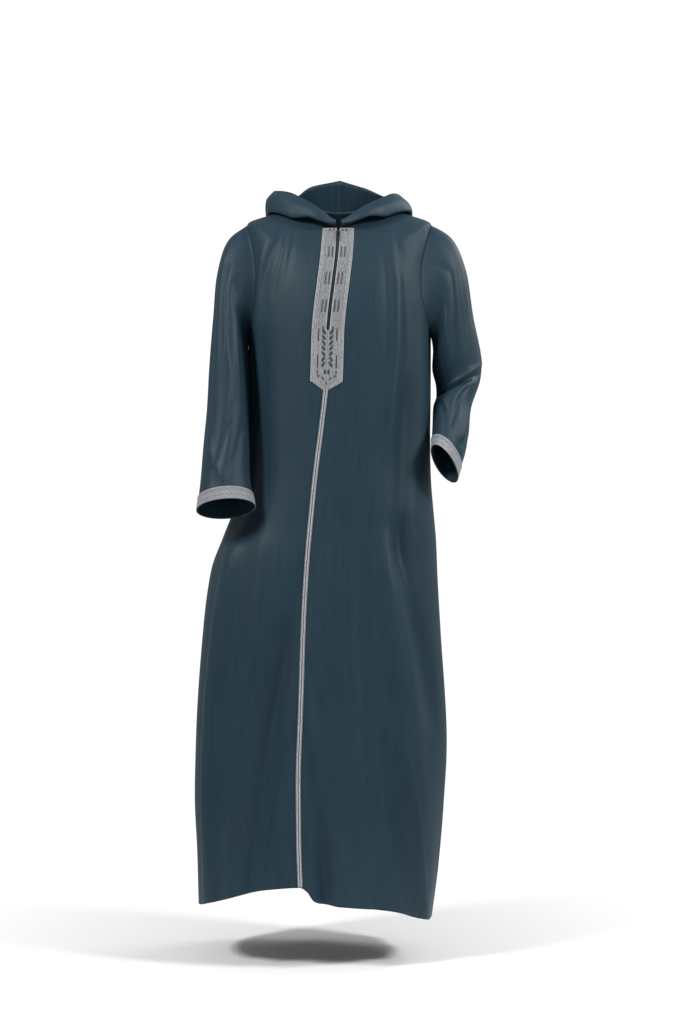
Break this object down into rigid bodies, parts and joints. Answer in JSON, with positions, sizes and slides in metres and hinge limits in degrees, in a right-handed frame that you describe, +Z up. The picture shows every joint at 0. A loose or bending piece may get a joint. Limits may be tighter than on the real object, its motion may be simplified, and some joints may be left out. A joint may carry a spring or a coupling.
{
  "type": "hooded djellaba robe",
  "caption": "Long hooded djellaba robe, worn and hollow, with wide sleeves, a worn-down hood, a front zip under an embroidered placket, a centre braid and cuff trims.",
  "frame": {"origin": "middle of the neck at the height of the shoulders, where the robe hangs on its wearer", "axes": "+Z up, -Y the way the front faces, +X the wearer's left"},
  "size_m": [0.5855, 0.4057, 1.5308],
  "materials": {
    "robe_cloth": "satin-faced twill",
    "embroidery": "silver-grey embroidery and braid",
    "zip_cloth": "woven tape with moulded coil",
    "zip_metal": "dark lacquered metal"
  },
  "bodies": {
    "robe": {"front_left": "robe_cloth", "front_right": "robe_cloth", "back": "robe_cloth", "sleeve_left": "robe_cloth", "sleeve_right": "robe_cloth", "hood_left": "robe_cloth", "hood_right": "robe_cloth", "placket": "embroidery", "centre_braid": "embroidery", "cuff_trim_left": "embroidery", "cuff_trim_right": "embroidery", "zip_tape_left": "zip_cloth", "zip_tape_right": "zip_cloth", "zip_chain": "zip_cloth", "zip_slider": "zip_metal"},
    "zip_pull": {"zip_pull": "zip_metal"}
  },
  "joints": [
    {"name": "zip_pull_hinge", "type": "hinge", "parent": "robe", "child": "zip_pull", "pos_m": [-0.00376, -0.09122, -0.04742], "axis": [-1, 0, 0], "range_deg": [0, 150]}
  ]
}
